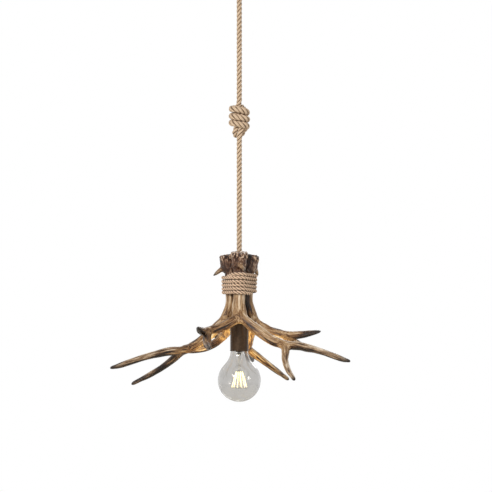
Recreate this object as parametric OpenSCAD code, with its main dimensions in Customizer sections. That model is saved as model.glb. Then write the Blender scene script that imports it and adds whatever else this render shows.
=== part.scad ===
// Antler pendant light: a rope with a stopper knot hangs from a ceiling canopy and carries
// three cast antlers that are lashed round a hub tube, with a lampholder and a globe bulb below.
// Millimetres, +Z up. The origin lies on the ceiling, on the axis of the rope.

/* [Canopy] */
// Diameter of the canopy
canopy_d = 110; // [100:1:140]
// Height of the canopy
canopy_h = 28; // [26:1:45]
// Sheet thickness of the canopy
canopy_wall = 1.2; // [0.8:0.1:2]
// Radius of the canopy's rolled lower edge
canopy_edge_r = 8; // [4:0.5:10]
// Length of the ceiling bracket
bracket_len = 96; // [92:1:98]
// Width of the ceiling bracket
bracket_w = 20; // [18:1:30]
// Thickness of the ceiling bracket
bracket_t = 2.5; // [2:0.1:4]
// Distance between the two ceiling screw holes
ceiling_hole_pitch = 60; // [50:1:66]
// Diameter of the ceiling screw holes
ceiling_hole_d = 5.2; // [4:0.1:6]
// Diameter of the supply cable hole in the bracket
cable_hole_d = 14; // [10:0.5:16]
// Distance between the two canopy screws
canopy_screw_pitch = 84; // [80:1:86]
// Diameter of the canopy screws
canopy_screw_d = 4; // [3:0.5:4]
// Length of the terminal block
terminal_len = 34; // [28:1:40]
// Depth of the terminal block
terminal_depth = 16; // [12:0.5:18]
// Height of the terminal block
terminal_h = 12; // [10:0.5:13]

/* [Rope] */
// Diameter of the rope
rope_d = 12; // [10:0.5:12]
// Length of the cord grip below the canopy
grip_len = 12; // [10:0.5:20]
// Length of the rope that bends between the two swing axes
neck_len = 24; // [20:1:40]
// Length of the straight rope above the knot
rope_upper_len = 192; // [100:1:400]
// Length of the straight rope between the knot and the antlers
rope_lower_len = 231; // [100:1:400]
// Depth to which the rope goes in between the burrs
rope_tuck = 27; // [20:1:34]
// Drop of one wrap of the knot
knot_pitch = 15; // [14:0.5:17]
// Diameter of the thinner lashing rope
lashing_d = 7.5; // [6:0.1:7.6]
// Drop of one turn of the lashing
lashing_pitch = 8.1; // [8.1:0.1:9]
// Diameter of the electric flex
flex_d = 5; // [4:0.1:5.5]

/* [Antlers] */
// Width of a burr along the ring
burr_w = 35; // [30:0.5:38]
// Depth of a burr, from the rope outward
burr_depth = 40; // [34:0.5:44]
// Distance that the longest tine reaches to the side of the hub
antler_reach = 241; // [200:1:300]
// Height of the first antler over the other two
antler_step = 10; // [0:1:12]
// Radius of an antler where the lashing starts
waist_top_r = 14; // [13:0.1:15]
// Radius of an antler where the lashing ends
waist_low_r = 13; // [12:0.1:14]
// Radius of the spur's root
spur_r = 5; // [4:0.5:6]
// Number of pearls on the rim of a burr
pearls = 12; // [8:1:14]
// Radius of a pearl
pearl_r = 2.4; // [1.8:0.1:3]

/* [Hub] */
// Outer diameter of the hub tube
hub_d = 12; // [12:0.5:14]
// Bore of the hub tube
hub_bore_d = 6.4; // [6:0.1:7]
// Diameter of the hub tube's threaded end
hub_thread_d = 10; // [9:0.5:11]
// Diameter of the antler screws
antler_screw_d = 4; // [3:0.5:4]
// Width of the hub nuts across their flats
hub_nut_af = 17; // [15:0.5:19]
// Height of the hub nuts
hub_nut_h = 6; // [4:0.5:7]

/* [Lampholder] */
// Outer diameter of the lampholder cup
holder_d = 40; // [38:0.5:44]
// Height of the lampholder cup
holder_h = 62; // [60:0.5:70]
// Wall of the lampholder cup
holder_wall = 1; // [0.8:0.1:1.2]
// Depth from the top of the first burr to the top of the cup
holder_drop = 157; // [155:1:170]
// Inner diameter of the holder's thread shell
shell_d = 27.2; // [27:0.1:27.6]

/* [Bulb] */
// Diameter of the globe
globe_d = 95; // [80:1:110]
// Depth from the edge of the lampholder to the middle of the globe
globe_drop = 64.7; // [60:0.5:75]
// Diameter of the bulb's neck just under the lampholder
neck_d = 38.8; // [34:0.2:39]
// Thickness of the glass
glass_wall = 1; // [0.8:0.1:1.5]
// Diameter of the bulb's screw cap over its ridges
cap_d = 26.2; // [25:0.1:26.4]
// Length of the bulb's screw cap
cap_len = 23; // [20:0.5:24]
// Number of light filaments
filaments = 6; // [3:1:8]
// Length of a light filament
filament_len = 36; // [30:1:40]

/* [Hidden] */
$fn = 64;

// Clearances
seat_gap = 0.3;
thread_gap = 0.1;
rope_gap = 0.5;
knot_gap = 0.9;
swing_gap = 0.3;

// Canopy and grip
rope_r = rope_d / 2;
bend_start_gap = 2;
flange_t = 3;
grip_thread_r = rope_r + 2.2;
grip_flange_r = rope_r + 8;
grip_tip_r = rope_r + 3;
grip_thread_len = 9;
grip_nut_af = 2 * grip_thread_r + 6;
grip_nut_h = 4;
grip_screw_d = 3;
head_h = 3;
stub_top = -canopy_h + grip_thread_len + 1;
flex_r = flex_d / 2;
flex_bend_r = 8;
tab_w = 16;
terminal_y = bracket_w / 2 + 6;
terminal_poles = 3;
terminal_screw_r = 1.6;

// Heights of the hanging parts
pivot_x_z = -(canopy_h + grip_len + bend_start_gap);
pivot_y_z = pivot_x_z - neck_len;
knot_top = pivot_y_z - rope_upper_len;
knot_h = 114;
knot_end = knot_top - knot_h;
front_z = knot_end - rope_lower_len;
side_z = front_z - antler_step;
rope_end = front_z - rope_tuck;
holder_top = front_z - holder_drop;
holder_low = holder_top - holder_h;
globe_z = holder_low - globe_drop;

// Places of the three castings: height and turn
front = [front_z, 0];
left = [side_z, -120];
right = [side_z, 120];

// Knot: the rope from above goes down the core and round the sling, winds back up over the core,
// is tucked in from behind and goes down the core again
core_x = rope_r + 0.3;
wrap_r = rope_d + knot_gap;
wrap_round = 2 * PI * wrap_r + 4 * core_x;
wrap_start = PI * wrap_r / 2;
wrap_z = -23.5;
wrap_rings = 24;
first_wrap_ring = 6;
last_wrap_ring = 72;
knot_in = [[0, 0, 0], [0, 0, -5], [0, 0, -11], [-0.6, 0, -18], [-3.2, 0, -25], [-5.8, 0, -31],
    [-6.3, 0, -38], [-6.3, 0, -48], [-6.3, 0, -58], [-6.3, 0.2, -66], [-7.6, 1, -73]];
knot_sling = [[-10.5, 1.5, -80], [-11.5, 5, -85], [-8, 9.5, -89], [-1.5, 11.5, -90.4],
    [5, 11.6, -87.5], [8.6, 12, -82], [12.4, 11.8, -76], [17, 7.8, -71.2]];
knot_tuck = [[5, 12.4, -26.5], [9.4, 9.6, -27], [10, 4.6, -28.5], [7.6, 1.2, -33], [6.4, 0, -40],
    [6.3, 0, -50], [6.3, 0, -58], [6.3, 0, -66]];
knot_out = [[5.4, -2, -73], [3, -4.6, -80], [1, -4.8, -87], [0.2, -2.8, -94], [0, 0, -102],
    [0, 0, -108], [0, 0, -114]];

// Antler waist, where the lashing holds the castings against the hub tube
hub_r = hub_d / 2;
waist_top = -38.5;
waist_low = -100;
screw_drops = [-60, -78];
hub_bore_len = 200;
screw_bore_len = 60;

// Lashing
lashing_r = lashing_d / 2;
lashing_top = front_z - 49.5;
lashing_flats = 16;
lashing_steps = 8;
first_corner = -90;

// Antler limbs: each row is a place in the casting's frame and the two half widths there
burr_y = -(rope_r + 1 + burr_depth / 2);
split_y = -(holder_d / 2 + 5 + 12.5);
limb_spread = antler_reach / 241;
beam = [
    [0, burr_y, 0, burr_w / 2 - 4, burr_depth / 2 - 4.5],
    [0, burr_y, -4, burr_w / 2, burr_depth / 2],
    [0, burr_y, -14, burr_w / 2 - 0.5, burr_depth / 2 - 0.5],
    [0, burr_y + 1.4, -22, burr_w / 2 - 0.9, burr_depth / 2 - 1.5],
    [0, burr_y + 4, -29, burr_w / 2 - 1.9, burr_depth / 2 - 3.4],
    [0, waist_y(waist_top_r) - 0.7, -34, waist_top_r + 0.7, waist_top_r + 1],
    waist_row(waist_top), waist_row(-46), waist_row(-60), waist_row(-83), waist_row(waist_low),
    [-1, waist_y(waist_low_r) - 4, -116, waist_low_r + 1, waist_low_r],
    [0, split_y + 7, -133, waist_low_r + 3.5, waist_low_r],
    [1, split_y, -146, waist_low_r + 5, waist_low_r - 1],
    [1, split_y - 6, -153.6, waist_low_r, waist_low_r - 4]];
right_limb = [
    [-6, split_y + 5, -139, 11, 10],
    [8, split_y - 3.2, -150.5, 12, 11],
    [25, split_y - 10, -165.5, 11.6, 10.5],
    [47, split_y - 19, -179, 10.6, 9.6],
    [73, split_y - 31, -195, 10.2, 9.4],
    [104, split_y - 45, -205.5, 9.6, 9.6],
    [134, split_y - 68, -208, 8, 8],
    [178, split_y - 101, -219, 6.2, 6.2],
    [222, split_y - 134, -235, 5.2, 5.2],
    [236, split_y - 145, -239, 3.2, 3.2],
    [241, split_y - 149, -241, 0.8, 0.8]];
down_tine = [
    [94, split_y - 38, -199, 11, 8],
    [101, split_y - 57, -214, 9, 8.4],
    [100, split_y - 91, -237.5, 6.2, 6.6],
    [106, split_y - 126, -258, 5.4, 5.6],
    [115, split_y - 153, -272, 3.6, 3.6],
    [120, split_y - 168, -280, 0.8, 0.8]];
left_limb = [
    [7, split_y + 5, -143, 10, 10],
    [-8, split_y - 4, -152, 11, 11],
    [-22, split_y - 10, -156, 10.4, 10.4],
    [-40, split_y - 20, -165, 9.6, 9.4],
    [-63, split_y - 34, -172.5, 9.2, 9],
    [-76, split_y - 50, -175, 8.8, 8.6],
    [-84, split_y - 74, -173.5, 7.4, 7.2],
    [-88, split_y - 98, -170, 5.4, 5.4],
    [-89, split_y - 113, -168, 3.4, 3.4],
    [-89, split_y - 119, -167, 0.8, 0.8]];
low_tine = [
    [-68, split_y - 38, -176, 9, 8],
    [-70, split_y - 59, -189, 9, 8.6],
    [-70, split_y - 88, -203, 7.4, 7.2],
    [-67, split_y - 118, -208.5, 6, 6],
    [-65, split_y - 138, -210.5, 4, 4],
    [-64, split_y - 148, -211.5, 0.8, 0.8]];
spur = [
    [-1, burr_y - 8, -22, spur_r, spur_r + 2],
    [4, burr_y - 17, -29.5, spur_r, spur_r + 0.5],
    [10, burr_y - 25, -37.5, spur_r - 1.2, spur_r - 1],
    [15, burr_y - 31, -43.5, 0.8, 0.8]];
beam_sides = 12;
limb_sides = 10;
spur_sides = 8;
ring_steps = 2;

// Lampholder and bulb
holder_r = holder_d / 2;
holder_top_t = 1.5;
rim_r = 0.6;
rim_h = 1.8;
insert_top = holder_top - 12;
insert_low = holder_low + 11;
insert_r = holder_r - holder_wall - 0.2;
shell_wall = 0.5;
shell_r = shell_d / 2;
shell_top = insert_low + 22;
contact_r = 4.5;
contact_drop = 2.5;
cap_top = shell_top - 5;
cap_low = cap_top - cap_len;
cap_r = cap_d / 2;
ridges = 6;
ridge_h = 0.7;
insulator_h = 2.6;
globe_r = globe_d / 2;
glass_top_r = cap_r - 0.6;
neck_r = neck_d / 2;
stem_low = globe_z + 24;
stem_r = 5;
wire_r = 0.5;
filament_r = 0.9;
filament_top_r = 7;
filament_low_r = 17;
filament_top = stem_low - 5;
filament_rise = sqrt(filament_len ^ 2 - (filament_low_r - filament_top_r) ^ 2);
filament_low = filament_top - filament_rise;

// Helpers
function unit(v) = v / norm(v);
function place(row) = [row[0], row[1], row[2]];
function square_to(v, along) = unit(v - (v * along) * along);
function waist_y(r) = -(hub_r + seat_gap + r);
function waist_r(z) =
    let (t = (z - waist_top) / (waist_low - waist_top))
    waist_top_r + (waist_low_r - waist_top_r) * max(0, min(1, t));
function waist_row(z) = [0, waist_y(waist_r(z)), z, waist_r(z), waist_r(z)];

// The limb's rows, moved out sideways and forward as far as the antler reaches
function spread(rows) = [
    for (row = rows)
        [row[0] * limb_spread, split_y + (row[1] - split_y) * limb_spread, row[2], row[3], row[4]]];

// A curve through the rows, with some steps between each two
function between(a, b, c, d, t) =
    ((2 * b) + (c - a) * t + (2 * a - 5 * b + 4 * c - d) * t ^ 2
    + (3 * b - a - 3 * c + d) * t ^ 3) / 2;
function curve(rows, steps) = [
    for (i = [0 : len(rows) - 2], k = [0 : steps - 1])
        between(rows[max(i - 1, 0)], rows[i], rows[i + 1], rows[min(i + 2, len(rows) - 1)],
            k / steps),
    rows[len(rows) - 1]];

// The direction of travel at each point, and a side direction carried along without twist
function travel(p) = [
    for (i = [0 : len(p) - 1]) unit(p[min(i + 1, len(p) - 1)] - p[max(i - 1, 0)])];
function carried(along, first) = [
    for (i = 0, side = square_to(first, along[0]); i < len(along);
        i = i + 1, side = i < len(along) ? square_to(side, along[i]) : side) side];

// A closed tube through rows of [x, y, z, half width, half depth]
module tube(rows, sides, first) {
    p = [for (row = rows) place(row)];
    along = travel(p);
    side = carried(along, first);
    points = [
        for (i = [0 : len(p) - 1], k = [0 : sides - 1])
            p[i] + rows[i][3] * cos(360 * k / sides) * side[i]
                + rows[i][4] * sin(360 * k / sides) * cross(along[i], side[i])];
    last = (len(p) - 1) * sides;
    walls = [
        for (i = [0 : len(p) - 2], k = [0 : sides - 1])
            let (a = i * sides + k, b = i * sides + (k + 1) % sides)
                each [[a, a + sides, b], [b, a + sides, b + sides]]];
    caps = [
        for (k = [1 : sides - 2])
            each [[0, k, k + 1], [last, last + k + 1, last + k]]];
    polyhedron(points = points, faces = concat(walls, caps), convexity = 6);
}

module round_tube(route, r, sides, first) {
    tube([for (p = route) [p[0], p[1], p[2], r, r]], sides, first);
}

module ring(outer_r, inner_r, z_low, z_high) {
    translate([0, 0, z_low])
        difference() {
            cylinder(r = outer_r, h = z_high - z_low);
            translate([0, 0, -1]) cylinder(r = inner_r, h = z_high - z_low + 2);
        }
}

module hex_nut(across_flats, h, hole_r, z_low) {
    translate([0, 0, z_low])
        difference() {
            cylinder(d = across_flats / cos(30), h = h, $fn = 6);
            translate([0, 0, -1]) cylinder(r = hole_r, h = h + 2);
        }
}

module rod(from, to, r) {
    v = to - from;
    translate(from)
        rotate([0, acos(v[2] / norm(v)), atan2(v[1], v[0])])
            cylinder(r = r, h = norm(v), $fn = 8);
}

module at_antler(spot) translate([0, 0, spot[0]]) rotate([0, 0, spot[1]]) children();

// A run of places outward from the hub, along the middle of a casting
module outward(drop, from_r, to_r, r1, r2) {
    translate([0, -from_r, drop])
        rotate([90, 0, 0])
            cylinder(r1 = r1, r2 = r2, h = to_r - from_r, $fn = 24);
}

// Canopy group
module ceiling_bracket() {
    color("silver")
        difference() {
            union() {
                translate([-bracket_len / 2, -bracket_w / 2, -bracket_t])
                    cube([bracket_len, bracket_w, bracket_t]);
                translate([-tab_w / 2, 0, -bracket_t])
                    cube([tab_w, terminal_y + terminal_depth - 2, bracket_t]);
            }
            for (side = [-1, 1]) {
                translate([side * ceiling_hole_pitch / 2, 0, -bracket_t - 1])
                    cylinder(d = ceiling_hole_d, h = bracket_t + 2);
                translate([side * canopy_screw_pitch / 2, 0, -bracket_t - 1])
                    cylinder(r = canopy_screw_d / 2 + thread_gap, h = bracket_t + 2);
            }
            translate([0, 0, -bracket_t - 1]) cylinder(d = cable_hole_d, h = bracket_t + 2);
        }
}

module canopy_half(grow) {
    r = canopy_d / 2 - grow;
    edge = canopy_edge_r - grow;
    low = -canopy_h + grow;
    translate([0, low + edge]) square([r, canopy_h - grow - edge]);
    translate([0, low]) square([r - edge, edge + 0.01]);
    translate([r - edge, low + edge]) circle(r = edge);
}

module canopy() {
    color("#3b2a20")
        difference() {
            rotate_extrude($fn = 96)
                difference() {
                    intersection() {
                        canopy_half(0);
                        translate([0, -canopy_h - 1]) square([canopy_d, canopy_h + 1]);
                    }
                    canopy_half(canopy_wall);
                    translate([0, -1]) square([canopy_d / 2 - canopy_wall, 2]);
                }
            translate([0, 0, -canopy_h - 1])
                cylinder(r = grip_thread_r + thread_gap, h = canopy_wall + 2);
            for (side = [-1, 1])
                translate([side * canopy_screw_pitch / 2, 0, -canopy_h - 1])
                    cylinder(r = canopy_screw_d / 2 + seat_gap, h = canopy_wall + 2);
        }
}

module canopy_screws() {
    color("#4a3a2c")
        for (side = [-1, 1])
            translate([side * canopy_screw_pitch / 2, 0, 0]) {
                translate([0, 0, -canopy_h]) cylinder(d = canopy_screw_d, h = canopy_h - 0.5);
                translate([0, 0, -canopy_h - head_h])
                    cylinder(r1 = canopy_screw_d / 2 + 1, r2 = canopy_screw_d / 2 + 2.2, h = head_h);
            }
}

module terminal_block() {
    pole = terminal_len / terminal_poles;
    color("ivory")
        translate([-terminal_len / 2, terminal_y, -bracket_t - terminal_h])
            difference() {
                union() {
                    cube([terminal_len, terminal_depth, terminal_h * 0.6]);
                    for (i = [0 : terminal_poles - 1])
                        translate([i * pole + 0.8, 1, 0])
                            cube([pole - 1.6, terminal_depth - 2, terminal_h]);
                }
                for (i = [0 : terminal_poles - 1], y = [0.3, 0.7])
                    translate([(i + 0.5) * pole, y * terminal_depth, -1])
                        cylinder(r = terminal_screw_r + thread_gap, h = 4);
            }
}

module terminal_screws() {
    pole = terminal_len / terminal_poles;
    color("gold")
        translate([-terminal_len / 2, terminal_y, -bracket_t - terminal_h])
            for (i = [0 : terminal_poles - 1], y = [0.3, 0.7])
                translate([(i + 0.5) * pole, y * terminal_depth, 0.5])
                    cylinder(r = terminal_screw_r, h = 2.5);
}

module cord_grip() {
    low = -canopy_h - grip_len;
    color("#4a3a2c")
        difference() {
            rotate_extrude()
                polygon([[rope_r + 0.1, low], [grip_tip_r, low], [grip_tip_r + 1.4, low + 2],
                    [grip_flange_r - 2, -canopy_h - flange_t - 2], [grip_flange_r, -canopy_h - flange_t],
                    [grip_flange_r, -canopy_h], [grip_thread_r, -canopy_h],
                    [grip_thread_r, -canopy_h + grip_thread_len],
                    [rope_r + 0.1, -canopy_h + grip_thread_len]]);
            translate([0, 0, low + 5])
                rotate([90, 0, 0])
                    cylinder(r = grip_screw_d / 2 + thread_gap, h = grip_flange_r + 2);
        }
}

module grip_nut() {
    color("silver")
        hex_nut(grip_nut_af, grip_nut_h, grip_thread_r + thread_gap, -canopy_h + canopy_wall);
}

module grip_screw() {
    color("silver")
        translate([0, -rope_r - 0.1, -canopy_h - grip_len + 5])
            rotate([90, 0, 0]) cylinder(d = grip_screw_d, h = grip_tip_r + 1.5 - rope_r, $fn = 24);
}

module flex_top() {
    turn_z = -bracket_t - terminal_h / 2;
    route = concat(
        [[0, 0, stub_top]],
        [for (a = [0 : 15 : 90])
            [0, flex_bend_r * (1 - cos(a)), turn_z - flex_bend_r * (1 - sin(a))]],
        [[0, terminal_y, turn_z]]);
    color("#2b2b2b") round_tube(route, flex_r * 0.9, 8, [1, 0, 0]);
}

// Rope: three lengths that meet at the two swing axes, the knot, and the rope below it
function dome(z) = [for (a = [15 : 25 : 90]) [0, 0, z + rope_r * cos(a), rope_r * sin(a)]];
function cup_half(z) = [
    for (a = [0 : 6 : asin(rope_r / (rope_r + swing_gap))])
        [(rope_r + swing_gap) * sin(a), z + (rope_r + swing_gap) * cos(a)]];

module rope_stub() {
    color("#c4a882")
        rotate_extrude()
            polygon(concat(
                cup_half(pivot_x_z),
                [[rope_r, pivot_x_z + sqrt((rope_r + swing_gap) ^ 2 - rope_r ^ 2)],
                    [rope_r, stub_top], [0, stub_top]]));
}

module rope_bend() {
    color("#c4a882")
        rotate_extrude()
            polygon(concat(
                cup_half(pivot_y_z),
                [[rope_r, pivot_y_z + sqrt((rope_r + swing_gap) ^ 2 - rope_r ^ 2)],
                    [rope_r, pivot_x_z]],
                [for (a = [80 : -10 : 0]) [rope_r * sin(a), pivot_x_z + rope_r * cos(a)]]));
}

module rope_upper() {
    rings = [for (row = dome(pivot_y_z)) [0, 0, row[2], row[3], row[3]]];
    steps = ceil(rope_upper_len / (2.5 * rope_d));
    run = [for (i = [0 : steps]) [0, 0, pivot_y_z - rope_upper_len * i / steps, rope_r, rope_r]];
    color("#c4a882") tube(concat(rings, run), 12, [1, 0, 0]);
}

// A place along the wraps' stadium outline, by its length from the front of the right-hand end
function wrap_at(s) =
    let (half = PI * wrap_r, u = s - floor(s / wrap_round) * wrap_round)
    u < half
        ? [core_x + wrap_r * sin(180 * u / half), -wrap_r * cos(180 * u / half)]
        : u < half + 2 * core_x
            ? [core_x - (u - half), wrap_r]
            : u < 2 * half + 2 * core_x
                ? let (a = 180 * (u - half - 2 * core_x) / half)
                    [-core_x - wrap_r * sin(a), wrap_r * cos(a)]
                : [-core_x + (u - 2 * half - 2 * core_x), -wrap_r];
function wraps() = [
    for (i = [last_wrap_ring : -1 : first_wrap_ring])
        let (p = wrap_at(wrap_start + wrap_round * i / wrap_rings))
            [p[0], p[1], wrap_z - knot_pitch * i / wrap_rings]];
function knot_route() = concat(
    curve(concat(knot_in, knot_sling, [wraps()[0]]), 2),
    [for (i = [1 : len(wraps()) - 2]) wraps()[i]],
    curve(concat([wraps()[len(wraps()) - 1]], knot_tuck, knot_out), 2));

// The least distance between two stretches of a tube that lie more than some length apart on it
function lengths(p) = [
    for (i = 0, s = 0; i < len(p);
        i = i + 1, s = i < len(p) ? s + norm(p[i] - p[i - 1]) : s) s];
function gap_to_itself(route, d, apart) =
    let (s = lengths(route))
    min([for (i = [0 : len(route) - 1], j = [i + 1 : 1 : len(route) - 1])
        if (s[j] - s[i] > apart) norm(route[i] - route[j])]) - d;

module rope_knot() {
    echo(knot_least_gap = gap_to_itself(knot_route(), rope_d, 1.8 * rope_d));
    color("#b8966c")
        translate([0, 0, knot_top]) round_tube(knot_route(), rope_r, 6, [1, 0, 0]);
}

module rope_lower() {
    length = knot_end - rope_end;
    steps = ceil(length / (2.5 * rope_d));
    color("#c4a882")
        round_tube([for (i = [0 : steps]) [0, 0, knot_end - length * i / steps]], rope_r, 12,
            [1, 0, 0]);
}

// Lashing: a rounded triangle round the three waists, with steps of a turn counted from a flat
function lashing_at(i) =
    let (
        z = lashing_top - lashing_pitch * i / (3 * lashing_steps),
        r = waist_r(z - side_z),
        reach = -waist_y(r),
        wrap = r + rope_gap + lashing_r,
        corner = floor(i / lashing_steps),
        step = i - corner * lashing_steps,
        middle = first_corner + 120 * corner,
        a = middle + (step - lashing_steps / 2) * 20)
    step == 0
        ? (reach / 2 + wrap) * [cos(middle - 60), sin(middle - 60), 0] + [0, 0, z]
        : reach * [cos(middle), sin(middle), 0] + wrap * [cos(a), sin(a), 0] + [0, 0, z];
function lashing_route() = [for (i = [0 : lashing_flats * lashing_steps]) lashing_at(i)];

module rope_lashing() {
    echo(lashing_least_gap = gap_to_itself(lashing_route(), lashing_d, 1.8 * lashing_d));
    color("#b88d78") round_tube(lashing_route(), lashing_r, 6, [0, 0, 1]);
}

// One casting, in its own frame: the hub lies at the origin and the antler spreads towards -Y
module antler_form() {
    tube(curve(beam, ring_steps), beam_sides, [1, 0, 0]);
    tube(curve(spread(right_limb), ring_steps), limb_sides, [0, 0, 1]);
    tube(curve(spread(down_tine), ring_steps), limb_sides, [1, 0, 0]);
    tube(curve(spread(left_limb), ring_steps), limb_sides, [0, 0, 1]);
    tube(curve(spread(low_tine), ring_steps), limb_sides, [1, 0, 0]);
    tube(curve(spur, ring_steps), spur_sides, [1, 0, 0]);
    for (i = [0 : pearls - 1])
        if (abs(i - pearls / 4) > 1)
            let (a = 360 * i / pearls)
                hull()
                    for (drop = [-3, -7 - 2 * (i % 3)])
                        translate([(burr_w / 2 - 0.6) * cos(a),
                            burr_y + (burr_depth / 2 - 0.6) * sin(a), drop])
                            sphere(r = pearl_r, $fn = 8);
}

module antler() {
    color("#7a4a30")
        difference() {
            antler_form();
            translate([0, 0, -hub_bore_len])
                cylinder(r = hub_r + seat_gap, h = hub_bore_len, $fn = 32);
            for (drop = screw_drops) {
                outward(drop, 0, screw_bore_len, antler_screw_d / 2 + seat_gap,
                    antler_screw_d / 2 + seat_gap);
                outward(drop, screw_head(drop) - 3, screw_bore_len, antler_screw_d + 0.6,
                    antler_screw_d + 0.6);
            }
        }
}

module antler_front() at_antler(front) antler();
module antler_left() at_antler(left) antler();
module antler_right() at_antler(right) antler();

// How far out a screw's head reaches, just under the surface of the waist
function screw_head(drop) = hub_r + seat_gap + 2 * waist_low_r - 0.5;

module antler_screws() {
    screw_r = antler_screw_d / 2;
    color("silver")
        for (spot = [front, left, right], drop = screw_drops)
            at_antler(spot) {
                outward(drop, hub_bore_d / 2 + 0.6, screw_head(drop) - 2.4, screw_r, screw_r);
                outward(drop, screw_head(drop) - 2.4, screw_head(drop), screw_r, screw_r * 2);
            }
}

// Hub
module hub_tube() {
    shoulder = holder_top + hub_nut_h + 2;
    low = holder_top - holder_top_t - hub_nut_h - 2;
    color("goldenrod")
        difference() {
            union() {
                translate([0, 0, shoulder]) cylinder(r = hub_r, h = rope_end - shoulder);
                translate([0, 0, low]) cylinder(d = hub_thread_d, h = shoulder - low);
            }
            translate([0, 0, low - 1]) cylinder(d = hub_bore_d, h = rope_end - low + 2);
            for (spot = [front, left, right], drop = screw_drops)
                at_antler(spot)
                    translate([0, 0, drop])
                        rotate([90, 0, 0])
                            cylinder(r = antler_screw_d / 2 + thread_gap, h = hub_r + 1);
        }
}

module hub_nut() {
    color("silver") hex_nut(hub_nut_af, hub_nut_h, hub_thread_d / 2 + thread_gap, holder_top);
}

module holder_nut() {
    color("silver")
        hex_nut(hub_nut_af, hub_nut_h, hub_thread_d / 2 + thread_gap,
            holder_top - holder_top_t - hub_nut_h);
}

module flex_lower() {
    color("#2b2b2b")
        translate([0, 0, insert_top]) cylinder(d = flex_d, h = rope_end - insert_top);
}

// Lampholder
module lampholder_cup() {
    inner = holder_r - holder_wall;
    color("#33251c")
        difference() {
            rotate_extrude($fn = 96)
                polygon([[hub_thread_d / 2 + thread_gap, holder_top], [holder_r - 2, holder_top],
                    [holder_r - 0.6, holder_top - 0.6], [holder_r, holder_top - 2],
                    [holder_r, holder_low + rim_h], [holder_r + rim_r, holder_low + rim_h - 0.4],
                    [holder_r + rim_r, holder_low + 0.3], [holder_r + rim_r - 0.3, holder_low],
                    [inner, holder_low], [inner, holder_top - holder_top_t],
                    [hub_thread_d / 2 + thread_gap, holder_top - holder_top_t]]);
        }
}

module lampholder_insert() {
    color("#1c1c1c")
        difference() {
            translate([0, 0, insert_low]) cylinder(r = insert_r, h = insert_top - insert_low);
            translate([0, 0, insert_low - 1])
                cylinder(r = shell_r + shell_wall + 0.1, h = shell_top - insert_low + 1);
            for (side = [-1, 1])
                translate([side * 11, 0, shell_top - 1]) cylinder(r = 2.1, h = 60);
        }
}

module holder_terminals() {
    color("gold")
        for (side = [-1, 1])
            translate([side * 11, 0, shell_top + 1]) {
                cylinder(r = 2, h = insert_top - shell_top - 1);
                translate([0, 0, insert_top - shell_top - 1]) cylinder(r = 3.2, h = 2);
            }
}

module thread_shell() {
    color("gold") ring(shell_r + shell_wall, shell_r, insert_low + 0.5, shell_top);
}

module centre_contact() {
    color("gold")
        translate([0, 0, shell_top - contact_drop]) {
            cylinder(r = contact_r - 1, h = contact_drop - 1);
            translate([0, 0, contact_drop - 1]) cylinder(r = contact_r + 3, h = 1);
        }
}

// Bulb
module bulb_cap() {
    pitch = cap_len / (ridges + 1);
    color("silver")
        rotate_extrude()
            polygon(concat(
                [[0, cap_low], [cap_r - ridge_h, cap_low]],
                [for (i = [0 : 6 * ridges])
                    [cap_r - ridge_h / 2 - ridge_h / 2 * cos(60 * i),
                        cap_low + pitch / 2 + pitch * i / 6]],
                [[cap_r - ridge_h - 1.5, cap_top], [0, cap_top]]));
}

module bulb_cap_insulator() {
    color("#222222")
        translate([0, 0, cap_top])
            cylinder(r1 = cap_r - ridge_h - 2, r2 = contact_r + 0.6, h = insulator_h - 0.8);
}

module bulb_contact() {
    color("silver")
        translate([0, 0, cap_top + insulator_h - 0.8]) cylinder(r = contact_r, h = 0.5);
}

// Half outline of the glass: a globe whose neck sweeps in towards the screw cap
function glass_half(grow) =
    let (
        r = globe_r - grow,
        join = 47,
        neck_z = holder_low - 3.6)
    concat(
        [for (a = [-90 : 6 : join]) [r * cos(a), globe_z + r * sin(a)]],
        [for (t = [0.25, 0.5, 0.75])
            let (
                p0 = [r * cos(join), globe_z + r * sin(join)],
                p2 = [neck_r - grow, neck_z],
                p1 = [neck_r - grow + 0.8, neck_z - 13])
            (1 - t) ^ 2 * p0 + 2 * t * (1 - t) * p1 + t ^ 2 * p2],
        [[neck_r - grow, neck_z], [neck_r - 1.4 - grow, holder_low],
            [neck_r - 3.4 - grow, cap_low - 1.6], [glass_top_r - grow, cap_low]]);

module bulb_glass() {
    color("white", 0.4)
        rotate_extrude($fn = 96)
            difference() {
                polygon(concat(glass_half(0), [[0, cap_low]]));
                polygon(concat(glass_half(glass_wall), [[0, cap_low]]));
            }
}

module bulb_stem() {
    color("white", 0.5)
        rotate_extrude()
            polygon([[0, stem_low], [stem_r * 0.6, stem_low], [stem_r, stem_low + 6],
                [stem_r * 0.8, cap_low - 14], [glass_top_r - glass_wall - 1.4, cap_low - 2],
                [glass_top_r - glass_wall - 1.4, cap_low], [0, cap_low]]);
}

module bulb_filaments() {
    color("#ffd9a0")
        for (i = [0 : filaments - 1])
            let (a = 360 * i / filaments + 15)
                rod([filament_top_r * cos(a), filament_top_r * sin(a), filament_top],
                    [filament_low_r * cos(a), filament_low_r * sin(a), filament_low],
                    filament_r);
}

module bulb_supports() {
    color("silver") {
        rod([0, 0, stem_low], [0, 0, filament_low - 2.5], wire_r + 0.3);
        for (i = [0 : filaments - 1])
            let (a = 360 * i / filaments + 15, lean = (filament_low_r - filament_top_r) / filament_rise)
                {
                    rod([0, 0, filament_low - 1.5],
                        [(filament_low_r + 2 * lean) * cos(a), (filament_low_r + 2 * lean) * sin(a),
                            filament_low - 1.5], wire_r);
                    rod([1, 0, stem_low - 2], [(filament_top_r - 2 * lean) * cos(a),
                        (filament_top_r - 2 * lean) * sin(a), filament_top + 1.5], wire_r);
                }
    }
}

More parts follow.
